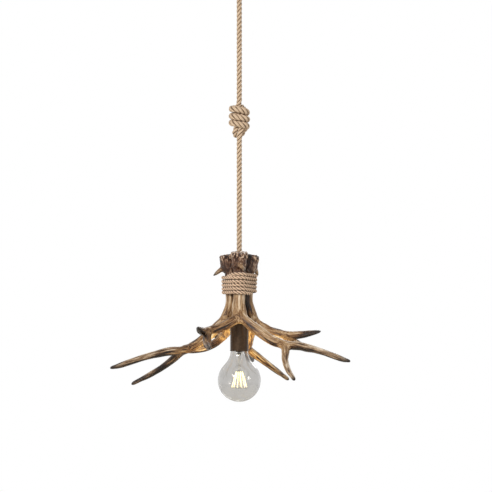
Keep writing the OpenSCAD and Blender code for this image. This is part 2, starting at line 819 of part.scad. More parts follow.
ceiling_bracket();
canopy();
canopy_screws();
terminal_block();
terminal_screws();
cord_grip();
grip_nut();
grip_screw();
flex_top();
rope_stub();
rope_bend();
rope_upper();
rope_knot();
rope_lower();
rope_lashing();
antler_front();
antler_left();
antler_right();
antler_screws();
hub_tube();
hub_nut();
holder_nut();
flex_lower();
lampholder_cup();
lampholder_insert();
holder_terminals();
thread_shell();
centre_contact();
bulb_cap();
bulb_cap_insulator();
bulb_contact();
bulb_glass();
bulb_stem();
bulb_filaments();
bulb_supports();
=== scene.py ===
"""Antler pendant light, dressed over its CAD frame. Metres, the same frame as the CAD."""

import math
from typing import NamedTuple

import bmesh
import bpy
import numpy as np
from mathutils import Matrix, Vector, noise


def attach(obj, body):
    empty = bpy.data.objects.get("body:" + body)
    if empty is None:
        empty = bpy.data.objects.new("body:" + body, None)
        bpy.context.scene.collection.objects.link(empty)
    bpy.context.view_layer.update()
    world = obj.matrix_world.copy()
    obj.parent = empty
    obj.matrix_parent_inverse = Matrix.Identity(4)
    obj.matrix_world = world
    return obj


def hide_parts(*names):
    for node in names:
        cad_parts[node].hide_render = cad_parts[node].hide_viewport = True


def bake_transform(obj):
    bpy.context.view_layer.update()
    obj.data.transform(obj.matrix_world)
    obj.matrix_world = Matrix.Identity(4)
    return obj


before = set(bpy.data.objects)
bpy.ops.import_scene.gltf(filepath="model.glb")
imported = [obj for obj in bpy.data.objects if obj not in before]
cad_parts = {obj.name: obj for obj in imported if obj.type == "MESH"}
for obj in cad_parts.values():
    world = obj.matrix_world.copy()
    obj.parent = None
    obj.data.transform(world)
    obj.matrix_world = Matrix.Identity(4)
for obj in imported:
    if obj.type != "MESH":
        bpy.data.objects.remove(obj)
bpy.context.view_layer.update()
scene = bpy.context.scene
MM = 0.001

# Camera: level and far away. The photo is square, with PX_M metres to the pixel, the rope's axis
# is AXIS_PX from its left edge, and the ceiling is above its upper edge
PHOTO_PX = 492
PX_M = 0.002204
AXIS_PX = 239.3
CEILING_PX = -22
DISTANCE = 12.0
SENSOR_MM = 36

camera_data = bpy.data.cameras.new("camera")
camera_data.sensor_width = SENSOR_MM
camera_data.lens = SENSOR_MM * DISTANCE / (PHOTO_PX * PX_M)
camera_data.clip_end = 5 * DISTANCE
camera = bpy.data.objects.new("camera", camera_data)
camera.location = ((PHOTO_PX / 2 - AXIS_PX) * PX_M, -DISTANCE,
                   -(PHOTO_PX / 2 - CEILING_PX) * PX_M)
camera.rotation_euler = (math.pi / 2, 0, 0)
scene.collection.objects.link(camera)
scene.camera = camera

# Sizes in millimetres, as in the CAD source
ROPE_D = 12.0
STUB_TOP = -18.0
PIVOT_X = -42.0
PIVOT_Y = -66.0
SPLIT_Z = (PIVOT_X + PIVOT_Y) / 2
KNOT_TOP = -258.0
KNOT_END = -372.0
FRONT_Z = -603.0
SIDE_Z = -613.0
ROPE_END = -630.0
HOLDER_LOW = -822.0
CAP_LOW = -817.0
GLOBE_Z = -886.7
GLOBE_R = 47.5
HUB_R = 6.0
SEAT_GAP = 0.3
WAIST_TOP, WAIST_LOW = -38.5, -100.0
WAIST_TOP_R, WAIST_LOW_R = 14.0, 13.0
LASHING_D = 7.5
LASHING_PITCH = 8.1
LASHING_TOP = FRONT_Z - 49.5


# Curves
def between(a, b, c, d, t):
    """The point at t between b and c, on the smooth curve through all four."""
    return ((2 * b) + (c - a) * t + (2 * a - 5 * b + 4 * c - d) * t**2
            + (3 * b - a - 3 * c + d) * t**3) / 2


def curve(rows, steps):
    """A smooth curve through the rows, with some steps between each two."""
    rows = np.array(rows, float)
    last = len(rows) - 1
    out = [between(rows[max(i - 1, 0)], rows[i], rows[i + 1], rows[min(i + 2, last)], k / steps)
           for i in range(last) for k in range(steps)]
    return np.array(out + [rows[-1]])


def lengths(line):
    """How far along the line each of its points is."""
    return np.concatenate([[0], np.cumsum(np.linalg.norm(np.diff(line[:, :3], axis=0), axis=1))])


def even(line, step):
    """The same line with its points an equal step apart."""
    along = lengths(line)
    at = np.linspace(0, along[-1], int(math.ceil(along[-1] / step)) + 1)
    return np.stack([np.interp(at, along, line[:, k]) for k in range(line.shape[1])], axis=1)


def softened(line, rounds):
    """The line with each point moved towards its neighbours, round by round. The ends stay."""
    for _ in range(rounds):
        line = line.copy()
        line[1:-1] = (line[:-2] + 2 * line[1:-1] + line[2:]) / 4
    return line


def unit(v):
    return v / np.maximum(np.linalg.norm(v, axis=-1, keepdims=True), 1e-12)


def frames(line, first):
    """The direction, and two side directions carried along the line without twist."""
    along = unit(np.gradient(line[:, :3], axis=0))
    sides = np.empty_like(along)
    side = np.array(first, float)
    for i, direction in enumerate(along):
        side = side - np.dot(side, direction) * direction
        side = side / np.linalg.norm(side)
        sides[i] = side
    return along, sides, np.cross(along, sides)


# Meshes
def mesh_object(name, points_mm, faces, uv=None):
    mesh = bpy.data.meshes.new(name)
    mesh.from_pydata((np.asarray(points_mm) * MM).tolist(), [], faces)
    if uv is not None:
        layer = mesh.uv_layers.new(name="UVMap")
        layer.data.foreach_set("uv", np.asarray(uv, np.float32).ravel())
    mesh.polygons.foreach_set("use_smooth", [True] * len(mesh.polygons))
    mesh.update()
    o = bpy.data.objects.new(name, mesh)
    scene.collection.objects.link(o)
    return o


def point_values(o, name, values):
    """Gives the points a value that the material reads by its name."""
    layer = o.data.attributes.new(name, "FLOAT", "POINT")
    layer.data.foreach_set("value", values.astype(np.float32))


class Shells:
    """Closed shells that are gathered into one mesh."""

    def __init__(self):
        self.points, self.faces = [], []
        self.count = 0

    def add(self, points, faces):
        self.points.append(points)
        self.faces += [tuple(v + self.count for v in face) for face in faces]
        self.count += len(points)

    def mesh(self, name, uv=None):
        return mesh_object(name, np.concatenate(self.points), self.faces, uv)


def tube(line, r1, r2, sides, first):
    """A closed tube along the line: points, faces and one uv for each corner of each face.

    r1 and r2 are its half widths in the two side directions, one for each point of the line.
    """
    n = len(line)
    _, a, b = frames(line, first)
    angle = np.arange(sides) * 2 * math.pi / sides
    points = (line[:, None, :3] + (r1[:, None] * np.cos(angle))[:, :, None] * a[:, None, :]
              + (r2[:, None] * np.sin(angle))[:, :, None] * b[:, None, :]).reshape(-1, 3)
    s = lengths(line)
    faces, uv = [], []
    for i in range(n - 1):
        near, far = i * sides, (i + 1) * sides
        for k in range(sides):
            k2 = (k + 1) % sides
            faces.append((near + k, near + k2, far + k2, far + k))
            u0, u1 = k / sides, (k + 1) / sides
            uv += [(u0, s[i]), (u1, s[i]), (u1, s[i + 1]), (u0, s[i + 1])]
    faces.append(tuple(reversed(range(sides))))
    uv += [(0.5, s[0])] * sides
    faces.append(tuple((n - 1) * sides + k for k in range(sides)))
    uv += [(0.5, s[-1])] * sides
    return points, faces, uv


# How far from the rope's axis a strand's middle is, and its radius, as shares of the diameter,
# and how much a strand's thickness varies, over how many millimetres
STRANDS = 3
STRAND_OUT, STRAND_R = 0.264, 0.236
UNEVEN, UNEVEN_MM = 0.05, 9


def twisted(name, line, lay, phase, sides=14, first=(1, 0, 0), taper=0, open_side=None):
    """A rope of three strands laid round the line, whose fourth column is its diameter.

    The crest attribute is 1 on the strands' outsides and low in the hollows between them, and
    with open_side, a direction for each point of the line, also where other turns lie against it.
    """
    _, a, b = frames(line, first)
    s = lengths(line)
    ends = np.ones(len(line))
    if taper:
        ends = np.clip(np.minimum(s, s[-1] - s) / taper, 0.15, 1) ** 0.5
    shells, uv, crest = Shells(), [], []
    for k in range(STRANDS):
        swell = np.array([1 + UNEVEN * noise.noise((v / UNEVEN_MM, 7.0 * k, phase)) for v in s])
        angle = phase + 2 * math.pi * (s / lay + k / STRANDS)
        out = line[:, 3] * STRAND_OUT * ends
        strand_r = line[:, 3] * STRAND_R * ends * swell
        strand = (line[:, :3] + (out * np.cos(angle))[:, None] * a
                  + (out * np.sin(angle))[:, None] * b)
        points, faces, strand_uv = tube(strand, strand_r, strand_r, sides, first)
        shells.add(points, faces)
        uv += [(u + k / STRANDS, v) for u, v in strand_uv]
        offset = points.reshape(len(line), sides, 3) - line[:, None, :3]
        away = np.linalg.norm(offset, axis=2)
        height = away / (line[:, 3] * ends / 2)[:, None]
        # painted shade where other turns lie against this one, by how far a point faces away from
        # the open side
        if open_side is not None:
            facing = (offset * open_side[:, None, :]).sum(2) / away
            height = height * np.clip(0.60 + 0.62 * facing, 0.4, 1)
        crest.append(height.ravel())
    o = shells.mesh(name, uv)
    point_values(o, "crest", np.concatenate(crest))
    return o


def lathe(name, profile, segments=96):
    """A turned solid from an outline of (radius, height) points, with both ends at radius 0."""
    r, z = np.array(profile, float).T
    n = len(r)
    angle = (np.arange(segments) * 2 * math.pi / segments)[:, None]
    points = np.stack([r * np.cos(angle), r * np.sin(angle), z + 0 * angle], axis=2)
    faces = []
    for i in range(segments):
        j = (i + 1) % segments
        for k in range(n - 1):
            faces.append((i * n + k, j * n + k, j * n + k + 1, i * n + k + 1))
    o = mesh_object(name, points.reshape(-1, 3), faces)
    weld(o)
    return o


def weld(o, distance=1e-6):
    """Joins the points that meet on a turned solid's axis, and drops the faces that vanish."""
    b = bmesh.new()
    b.from_mesh(o.data)
    bmesh.ops.remove_doubles(b, verts=b.verts, dist=distance)
    bmesh.ops.dissolve_degenerate(b, dist=distance, edges=b.edges)
    bmesh.ops.recalc_face_normals(b, faces=b.faces)
    b.to_mesh(o.data)
    b.free()
    o.data.polygons.foreach_set("use_smooth", [True] * len(o.data.polygons))


# Rope with its knot. The knot's points are millimetres from KNOT_TOP
ROPE_LAY = 30.0
ROPE_STEP = 1.4
CORE_X = ROPE_D / 2 + 0.3
WRAP_R = ROPE_D + 0.9
WRAP_ROUND = 2 * math.pi * WRAP_R + 4 * CORE_X
WRAP_STEPS = 24
WRAP_FIRST, WRAP_LAST = 72, 6
ARCH_FIRST, ARCH_LAST = 11, 24
WRAP_Z = -23.5
KNOT_PITCH = 15.0
WRAP_ARCH = 2.4
KNOT_IN = [[0, 0, 0], [0, 0, -5], [0, 0, -11], [-0.6, 0, -18], [-3.2, 0, -25], [-5.8, 0, -31],
           [-6.3, 0, -38], [-6.3, 0, -48], [-6.3, 0, -58], [-6.3, 0.2, -66], [-7.6, 1, -73]]
KNOT_SLING = [[-10.5, 1.5, -80], [-11.5, 5, -85], [-8, 9.5, -89], [-1.5, 11.5, -90.4],
              [5, 11.6, -87.5], [8.6, 12, -82], [12.4, 11.8, -76], [17, 7.8, -71.2]]
KNOT_TUCK = [[5, 12.4, -26.5], [9.4, 9.6, -27], [10, 4.6, -28.5], [7.6, 1.2, -33], [6.4, 0, -40],
             [6.3, 0, -50], [6.3, 0, -58], [6.3, 0, -66]]
KNOT_OUT = [[5.4, -2, -73], [3, -4.6, -80], [1, -4.8, -87], [0.2, -2.8, -94], [0, 0, -102],
            [0, 0, -108], [0, 0, -114]]
# The fibres give where the knot is pulled tight: it is drawn in across, and its wraps swell
DRAWN_IN = 0.88
WRAP_D = 14.2


def wrap_at(s):
    """Where a wrap is, in x and y, at a length s along its way round the core's two passes."""
    half = math.pi * WRAP_R
    u = s % WRAP_ROUND
    if u < half:
        a = math.pi * u / half
        return CORE_X + WRAP_R * math.sin(a), -WRAP_R * math.cos(a)
    if u < half + 2 * CORE_X:
        return CORE_X - (u - half), WRAP_R
    if u < 2 * half + 2 * CORE_X:
        a = math.pi * (u - half - 2 * CORE_X) / half
        return -CORE_X - WRAP_R * math.sin(a), WRAP_R * math.cos(a)
    return -CORE_X + (u - 2 * half - 2 * CORE_X), -WRAP_R


def wrap_arch(i):
    """How much higher the top wrap lies where it arches over the tuck."""
    if not ARCH_FIRST <= i <= ARCH_LAST:
        return 0.0
    return WRAP_ARCH * math.sin(math.pi * (i - ARCH_FIRST) / (ARCH_LAST - ARCH_FIRST))


def knot_route():
    """Down the core, round the sling, back up over the core in wraps, and down the core again."""
    wraps = []
    for i in range(WRAP_FIRST, WRAP_LAST - 1, -1):
        x, y = wrap_at(math.pi * WRAP_R / 2 + WRAP_ROUND * i / WRAP_STEPS)
        wraps.append([x, y, WRAP_Z - KNOT_PITCH * i / WRAP_STEPS + wrap_arch(i)])
    down = KNOT_IN + KNOT_SLING
    out = KNOT_TUCK + KNOT_OUT
    route = np.concatenate([curve(down + [wraps[0]], 4)[:-1], curve(wraps, 3)[:-1],
                            curve([wraps[-1]] + out, 4)])
    swell = np.zeros(len(route))
    swell[4 * len(down):len(route) - 4 * len(out)] = 1
    swell = softened(swell, 60)
    route[:, :2] *= DRAWN_IN
    return np.column_stack([route + [0, 0, KNOT_TOP], ROPE_D + (WRAP_D - ROPE_D) * swell])


def rope_route():
    """Straight down from the cord grip, through the knot, and on down to the hub."""
    above = [[0, 0, z, ROPE_D] for z in np.arange(STUB_TOP, KNOT_TOP, -6)]
    below = [[0, 0, z, ROPE_D] for z in np.linspace(KNOT_END, ROPE_END + 0.5, 44)[1:]]
    line = np.concatenate([np.array(above, float), knot_route(), np.array(below, float)])
    return softened(even(line, ROPE_STEP), 6)


rope_line = rope_route()
rope_s = lengths(rope_line)
cut = int(np.argmin(np.abs(rope_line[:, 2] - SPLIT_Z)))
neck = twisted("rope_in_grip", rope_line[:cut + 1], ROPE_LAY, 0.0)
rope = twisted("rope", rope_line[cut:], ROPE_LAY, 2 * math.pi * rope_s[cut] / ROPE_LAY)

# Lashing round the castings' waists, with CORNER_STEPS steps for each of the three in a turn
CORNER_STEPS = 8
LASHING_CORNERS = 16
LASHING_LAY = 26.3
LASHING_TILT = 0.06
LASHING_GAP = 0.5
# The ends go in between two castings, to these shares of their distance from the axis
TUCKED, TUCKED_DEEP = np.array([0.86, 0.86, 1]), np.array([0.72, 0.72, 1])
# The first stretch goes down, under the next turn
UNDER_MM = 48
UNDER_DROP = 0.9 * LASHING_PITCH


def waist_r(z):
    """A casting's radius at a height of its waist."""
    return WAIST_TOP_R + (WAIST_LOW_R - WAIST_TOP_R) * (z - WAIST_TOP) / (WAIST_LOW - WAIST_TOP)


def waist_y(r):
    """Where the middle of a round of this radius is when it lies against the hub tube."""
    return -(HUB_R + SEAT_GAP + r)


def lashing_at(i):
    """A point of the lashing: round a casting, or halfway between two."""
    z = LASHING_TOP - LASHING_PITCH * i / (3 * CORNER_STEPS)
    r = waist_r(z - SIDE_Z)
    reach = -waist_y(r)
    wrap = r + LASHING_GAP + LASHING_D / 2
    corner, step = divmod(i, CORNER_STEPS)
    middle = math.radians(-90 + 120 * corner)
    if step == 0:
        back = middle - math.radians(60)
        w = reach / 2 + wrap
        return [w * math.cos(back), w * math.sin(back), z]
    a = middle + math.radians((step - CORNER_STEPS // 2) * 20)
    return [reach * math.cos(middle) + wrap * math.cos(a),
            reach * math.sin(middle) + wrap * math.sin(a), z]


def lashing_route():
    """The turns, with each end tucked in between two castings, and none of them quite even."""
    turns = [lashing_at(i) for i in range(CORNER_STEPS * LASHING_CORNERS + 1)]
    start, end = np.array(turns[0]), np.array(turns[-1])
    line = curve([start * TUCKED_DEEP + [0, 0, 1.5], start * TUCKED + [0, 0, 1]] + turns
                 + [end * TUCKED, end * TUCKED_DEEP], 3)
    line = softened(even(line, 1.0), 4)
    for i, v in enumerate(lengths(line)):
        under = max(0, 1 - v / UNDER_MM) ** 2
        out = 1 + 0.012 * (1 + noise.noise((v / 31, 2.5, 0))) - 0.05 * under
        line[i, 2] -= UNDER_DROP * under
        line[i] *= (out, out, 1)
        line[i, 2] += 0.5 * noise.noise((v / 43, 0, 8.5)) - LASHING_TILT * (line[i, 1] + 8)
    return np.column_stack([line, np.full(len(line), LASHING_D + 0.6)])


lashing_line = lashing_route()
outward = unit(lashing_line[:, :3] * [1, 1, 0])
lashing = twisted("lashing", lashing_line, LASHING_LAY, 0.4, sides=10, first=(0, 0, 1), taper=6,
                  open_side=outward)
lashing_length = lengths(lashing_line)[-1] * MM

# Antlers. A casting's own frame has the hub's axis at x = y = 0, the burr's top at z = 0 and the
# limbs towards -Y. Each row of a limb is x, y, z and its two half widths
BURR_W, BURR_DEPTH = 35.0, 40.0
BURR_Y = -(ROPE_D / 2 + 1 + BURR_DEPTH / 2)
SPLIT_Y = -37.5


def burr_row(z, wider, deeper, y=0):
    return [0, BURR_Y + y, z, BURR_W / 2 + wider, BURR_DEPTH / 2 + deeper]


def waist_row(z):
    r = waist_r(z)
    return [0, waist_y(r), z, r, r]


def from_y(start, rows):
    """The rows, whose y is counted from start."""
    return [[x, start + y, z, a, b] for x, y, z, a, b in rows]


BEAM = [
    burr_row(0, -0.8, -1.2), burr_row(-2.6, 1.2, 1), burr_row(-8, 0.4, 0.2),
    burr_row(-14, -0.5, -0.5), burr_row(-22, -0.9, -1.5, 1.4), burr_row(-29, -1.9, -3.4, 4),
    [0, waist_y(WAIST_TOP_R) - 0.7, -34, 14.7, 15],
    waist_row(WAIST_TOP), waist_row(-46), waist_row(-60), waist_row(-83), waist_row(WAIST_LOW),
    [-1, waist_y(WAIST_LOW_R) - 4, -116, 14, 13],
    [0, SPLIT_Y + 7, -133, 16.5, 13],
    [1, SPLIT_Y, -146, 18, 12],
    [1, SPLIT_Y - 6, -153.6, 13, 9]]
RIGHT_LIMB = from_y(SPLIT_Y, [
    [-6, 5, -137, 10.5, 10],
    [8, -3.2, -146.5, 10.8, 11],
    [25, -10, -161.5, 11.2, 10.5],
    [47, -19, -177.5, 10.6, 9.6],
    [73, -31, -195, 10.2, 9.4],
    [104, -45, -205.5, 9.6, 9.6],
    [134, -68, -208, 8, 8],
    [178, -101, -219, 6.2, 6.2],
    [222, -134, -235, 5.2, 5.2],
    [236, -145, -239, 3.2, 3.2],
    [241, -149, -241, 0.8, 0.8]])
DOWN_TINE = from_y(SPLIT_Y, [
    [94, -38, -199, 11, 8],
    [101, -57, -214, 9, 8.4],
    [100, -91, -237.5, 6.2, 6.6],
    [106, -126, -258, 5.4, 5.6],
    [115, -153, -272, 3.6, 3.6],
    [120, -168, -280, 0.8, 0.8]])
LEFT_LIMB = from_y(SPLIT_Y, [
    [7, 5, -141, 10, 10],
    [-8, -4, -149.5, 10.6, 11],
    [-22, -10, -157, 10.4, 10.4],
    [-40, -20, -167, 9.8, 9.4],
    [-63, -34, -172.5, 9.2, 9],
    [-76, -50, -175, 8.8, 8.6],
    [-84, -74, -173.5, 7.4, 7.2],
    [-88, -98, -170, 5.4, 5.4],
    [-89, -113, -168, 3.4, 3.4],
    [-89, -119, -167, 0.8, 0.8]])
LOW_TINE = from_y(SPLIT_Y, [
    [-68, -38, -176, 9, 8],
    [-70, -59, -189, 9, 8.6],
    [-70, -88, -203, 7.4, 7.2],
    [-67, -118, -208.5, 6, 6],
    [-65, -138, -210.5, 4, 4],
    [-64, -148, -211.5, 0.8, 0.8]])
SPUR = from_y(BURR_Y, [
    [-1, -8, -22, 5, 7],
    [4, -17, -29.5, 5, 5.5],
    [10, -25, -37.5, 3.8, 4],
    [15, -31, -43.5, 0.8, 0.8]])


class Limb(NamedTuple):
    """A limb of a casting, by its rows and its first side direction."""
    rows: list
    first: tuple
    tip: float  # length of the black tip
    start: float  # how far from the burr the limb starts
    underside_shade: float  # how much painted shade darkens its underside
    fuller: float  # how much fuller it is for what its grooves take away (mm)
    tip_r: float  # radius to which its tip is rounded
    broad: float = 1.6  # height of its broad ridges
    bold: float = 1.0  # how much its colour varies with its relief


LIMBS = [
    Limb(BEAM, (1, 0, 0), tip=0, start=0, underside_shade=0, fuller=0.3, tip_r=0, broad=0.7, bold=0.45),
    Limb(RIGHT_LIMB, (0, 0, 1), tip=30, start=142, underside_shade=1.4, fuller=1.0, tip_r=3.8),
    Limb(DOWN_TINE, (1, 0, 0), tip=12, start=258, underside_shade=0.5, fuller=0.8, tip_r=4.3),
    Limb(LEFT_LIMB, (0, 0, 1), tip=46, start=144, underside_shade=1.4, fuller=0.9, tip_r=2.8),
    Limb(LOW_TINE, (1, 0, 0), tip=22, start=238, underside_shade=0.6, fuller=0.9, tip_r=3.2),
    Limb(SPUR, (1, 0, 0), tip=14, start=26, underside_shade=0, fuller=0, tip_r=0.8)]


class Casting(NamedTuple):
    """A placed casting, and what sets it apart from the others."""
    name: str
    node: str
    z: float
    turn: float
    seed: float
    lift: float  # how much higher its burr is
    rise: float  # how much higher its ends are
    paler: list  # how much paler than the rest each of its limbs is


CASTINGS = [
    Casting("front_casting", "antler_front", FRONT_Z, turn=0, seed=1.7, lift=0.0, rise=2.0,
            paler=[0.24, 0.02, 0.3, -0.38, -0.1, 0.4]),
    Casting("left_casting", "antler_left", SIDE_Z, turn=-120, seed=23.1, lift=4.0, rise=-3.0,
            paler=[0.24, 0.18, -0.45, -0.1, -0.1, 0.4]),
    Casting("right_casting", "antler_right", SIDE_Z, turn=122, seed=51.3, lift=4.0, rise=2.5,
            paler=[0.16, 0.0, 0.2, -0.05, -0.1, 0.2])]

# Middle and half sizes of the lumps that fill the corners between limbs
WEBS = [((1, SPLIT_Y - 5, -147), (19, 9, 11)), ((97, SPLIT_Y - 44, -204), (14, 10, 11)),
        ((-68, SPLIT_Y - 44, -177), (10, 12, 12)), ((0, BURR_Y - 12, -26), (8, 8, 10))]
# Middle and radius of the places where limbs meet, and how strongly they are smoothed
FORKS = [(np.array([2, SPLIT_Y - 4, -151]), 34, 0.95),
         (np.array([99, SPLIT_Y - 46, -206]), 24, 0.9),
         (np.array([-69, SPLIT_Y - 44, -180]), 22, 0.9)]
SPUR_FOOT = (np.array([1, BURR_Y - 12, -26]), 11, 0.8)
LIMB_SIDES = 24
TIP_STEP = 1.5
TIP_STRETCH = 2.4
BURR_LUMPS = 22
LUMP_INSET = 2.2
VOXEL = 1.3


def lump(centre, size, rings=6, sides=10):
    """A closed egg-shaped lump, as points and faces."""
    points, faces = [[0, 0, size[2]]], []
    for i in range(1, rings):
        a = math.pi * i / rings
        for k in range(sides):
            b = 2 * math.pi * k / sides
            points.append([size[0] * math.sin(a) * math.cos(b),
                           size[1] * math.sin(a) * math.sin(b), size[2] * math.cos(a)])
    points.append([0, 0, -size[2]])
    base = 1 + (rings - 2) * sides
    for k in range(sides):
        k2 = (k + 1) % sides
        faces.append((0, 1 + k, 1 + k2))
        faces.append((base + k2, base + k, len(points) - 1))
    for i in range(rings - 2):
        upper, lower = 1 + i * sides, 1 + (i + 1) * sides
        for k in range(sides):
            k2 = (k + 1) % sides
            faces.append((upper + k, lower + k, lower + k2, upper + k2))
    return np.array(points) + np.array(centre), faces


def burr_lumps():
    """Middle and half sizes of each lump round the burr. None sticks out beside the rope."""
    rng = np.random.default_rng(5)
    for i in range(BURR_LUMPS):
        a = 2 * math.pi * (i + 0.5 * rng.random()) / BURR_LUMPS
        inward = math.sin(a) > 0.8
        size = (2.0 + 1.4 * rng.random(), 2.0 + 1.4 * rng.random(), 2.5 + 4 * rng.random())
        out = 0.7 + (0 if inward else 0.6 * rng.random())
        centre = ((BURR_W / 2 - LUMP_INSET + out) * math.cos(a),
                  BURR_Y + (BURR_DEPTH / 2 - LUMP_INSET + (0 if inward else out)) * math.sin(a),
                  -4 - 5 * rng.random())
        yield centre, size


def rounded_tip(line, tip_r):
    """The limb's line with even steps, its outer half at least tip_r thick up to a round end."""
    line = even(line, TIP_STEP)
    s = lengths(line)
    inset = 1 - np.minimum((s[-1] - s) / (TIP_STRETCH * tip_r), 1)
    ball = tip_r * np.sqrt(1 - 0.97 * inset**2)
    ball[s < s[-1] / 2] = 0
    line[:, 3:] = np.maximum(line[:, 3:], ball[:, None])
    return line


def antler_body():
    """One casting in its own frame, as one closed skin of even small faces, before its relief."""
    shells = Shells()
    for limb in LIMBS:
        line = curve(limb.rows, 5)
        if limb.tip_r:
            line = rounded_tip(line, limb.tip_r)
        points, faces, _ = tube(line, line[:, 3], line[:, 4], LIMB_SIDES, limb.first)
        shells.add(points, faces)
    for centre, size in WEBS:
        shells.add(*lump(centre, size, 10, 16))
    for centre, size in burr_lumps():
        shells.add(*lump(centre, size))
    o = shells.mesh("antler_body")
    remesh = o.modifiers.new("skin", "REMESH")
    remesh.mode = "VOXEL"
    remesh.voxel_size = VOXEL * MM
    skin = bpy.data.meshes.new_from_object(o.evaluated_get(bpy.context.evaluated_depsgraph_get()))
    bpy.data.objects.remove(o)
    co = np.empty(len(skin.vertices) * 3)
    skin.vertices.foreach_get("co", co)
    edges = np.empty(len(skin.edges) * 2, int)
    skin.edges.foreach_get("vertices", edges)
    faces = [tuple(p.vertices) for p in skin.polygons]
    bpy.data.meshes.remove(skin)
    return co.reshape(-1, 3) / MM, edges.reshape(-1, 2), faces


def neighbours_mean(co, edges, count):
    total = np.zeros_like(co)
    np.add.at(total, edges[:, 0], co[edges[:, 1]])
    np.add.at(total, edges[:, 1], co[edges[:, 0]])
    return total / count[:, None]


def smoothed(co, edges):
    """Takes the steps out of the skin, and more so where limbs meet."""
    count = np.bincount(edges.ravel(), minlength=len(co)).astype(float)
    # each pass that swells makes up for the one before it, which shrinks
    for rate in [0.5, -0.52] * 8:
        co = co + rate * (neighbours_mean(co, edges, count) - co)
    weight = np.zeros(len(co))
    for centre, radius, most in FORKS + [SPUR_FOOT]:
        near = np.clip(1 - np.linalg.norm(co - centre, axis=1) / radius, 0, 1)
        weight = np.maximum(weight, most * near)
    for _ in range(60):
        co = co + weight[:, None] * (neighbours_mean(co, edges, count) - co)
    return co


def normals_of(co, faces):
    quads = np.array([f if len(f) == 4 else (*f, f[-1]) for f in faces])
    cross = np.cross(co[quads[:, 2]] - co[quads[:, 0]], co[quads[:, 3]] - co[quads[:, 1]])
    total = np.zeros_like(co)
    for k in range(4):
        np.add.at(total, quads[:, k], cross)
    return unit(total)


def along_limbs(co):
    """For each limb: how near each point is in radii, its place across and along the limb, the
    limb's radius there, and its whole length."""
    found = []
    for limb in LIMBS:
        line = even(curve(limb.rows, 6), 2.0)
        direction, a, b = frames(line, limb.first)
        s = lengths(line)
        best, at = np.full(len(co), 1e9), np.zeros(len(co), int)
        for i in range(len(line)):
            d = np.linalg.norm(co - line[i, :3], axis=1)
            nearer = d < best
            best[nearer], at[nearer] = d[nearer], i
        away = co - line[at, :3]
        place = np.stack([(away * a[at]).sum(1), (away * b[at]).sum(1),
                          s[at] + (away * direction[at]).sum(1)], axis=1)
        radius = np.maximum((line[at, 3] + line[at, 4]) / 2, 1.2)
        found.append((best / radius, place, radius, s[-1]))
    return found


# Relief of the castings. Noise that is drawn out along the limbs has a size across and along
# them (mm), and takes the seed so many times
FINE, WIDE, WORN = (1.9, 30, 1), (5.0, 55, 3), (13, 40, 5)
RIDGE_MEAN = 0.22
END_MM = 30
BURR_LOW, BURR_FADE = -60, 12
RIM_LOW, RIM_FADE = -16, 8
# Painted shade between the castings: how far it reaches on either side, and where it fades out
# below
SHADE_REACH_LEFT, SHADE_REACH_RIGHT = 15.0, 6.0
SHADE_LOW, SHADE_FADE = -182, 30
SIN_30, COS_30 = 0.5, 0.866
PEARL_Z, PEARL_REACH = -118, 34


def noise_at(points):
    return np.array([noise.noise(p) for p in points.tolist()])


def drawn_out(at, kind, seed):
    across, along, times = kind
    return noise_at(np.column_stack([at[:, :2] / across + times * seed, at[:, 2] / along]))


def limb_weights(limbs):
    """How much each limb counts at each point, where the nearest one counts most."""
    near = np.array([limb[0] for limb in limbs])
    weight = np.exp(-5 * (near - near.min(0)))
    weight[weight < 0.02] = 0
    return weight / weight.sum(0)


def limb_relief(co, normals, limbs, weight, seed, paler):
    """What the limbs give to each point: height, how pale and black it is, with painted shade on
    their undersides, and the grain.
    """
    n = len(co)
    height, pale, black = np.zeros(n), np.zeros(n), np.zeros(n)
    grain = np.zeros((n, 3))
    away = np.linalg.norm(co[:, :2], axis=1)
    # painted shade on the faces that look down, on the limbs that reach out past the waist
    under = np.clip(-normals[:, 2] + 0.1, 0, 1) * np.clip((away - 90) / 30, 0, 1)
    for k, (limb, (_, place, radius, whole)) in enumerate(zip(LIMBS, limbs)):
        used = np.nonzero(weight[k] > 0)[0]
        w = weight[k][used]
        at = place[used] + (0, 0, limb.start)
        to_end = whole - place[used, 2]
        grain[used] += w[:, None] * at
        fine, wide, wear_and_shade = (drawn_out(at, kind, seed) for kind in (FINE, WIDE, WORN))
        groove = -np.clip(-fine - 0.02, 0, 1) ** 0.8
        ridge = np.abs(wide) - RIDGE_MEAN
        size = np.clip(radius[used] / 10, 0.15, 1.3)
        end = np.clip(to_end / END_MM, 0, 1) if limb.tip else np.ones(len(used))
        height[used] += (w * (groove + 0.3 * fine + limb.broad * ridge) * size
                         * (0.25 + 0.75 * end) + w * limb.fuller * end)
        pale[used] += w * (limb.bold * (0.8 * fine + 0.9 * ridge + 0.6 * wear_and_shade)
                           + paler[k] - limb.underside_shade * under[used])
        if limb.tip:
            black[used] += w * np.clip(1.15 - to_end / limb.tip, 0, 1)
    return height, pale, black, grain


def shade_between_castings(co):
    """How much painted shade falls at each point: 1 at the planes between this casting and the
    next, and 0 far from them or lower down.
    """
    depth = -(SIN_30 * np.abs(co[:, 0]) + COS_30 * co[:, 1])
    reach = np.where(co[:, 0] < 0, SHADE_REACH_LEFT, SHADE_REACH_RIGHT)
    return (np.clip(1 - depth / reach, 0, 1) ** 0.8
            * np.clip((co[:, 2] - SHADE_LOW) / SHADE_FADE, 0, 1))


def pearls(co, beam_weight, seed):
    """Height of the small pearls on the lower beam."""
    height = np.zeros(len(co))
    share = np.clip(1 - np.abs(co[:, 2] - PEARL_Z) / PEARL_REACH, 0, 1) * (beam_weight > 0.5)
    for i in np.nonzero(share > 0)[0]:
        x, y, z = co[i]
        distance = noise.voronoi((x / 4.6 + seed, y / 4.6, z / 8))[0][0]
        height[i] = share[i] * 0.5 * (0.4 - distance)
    return height


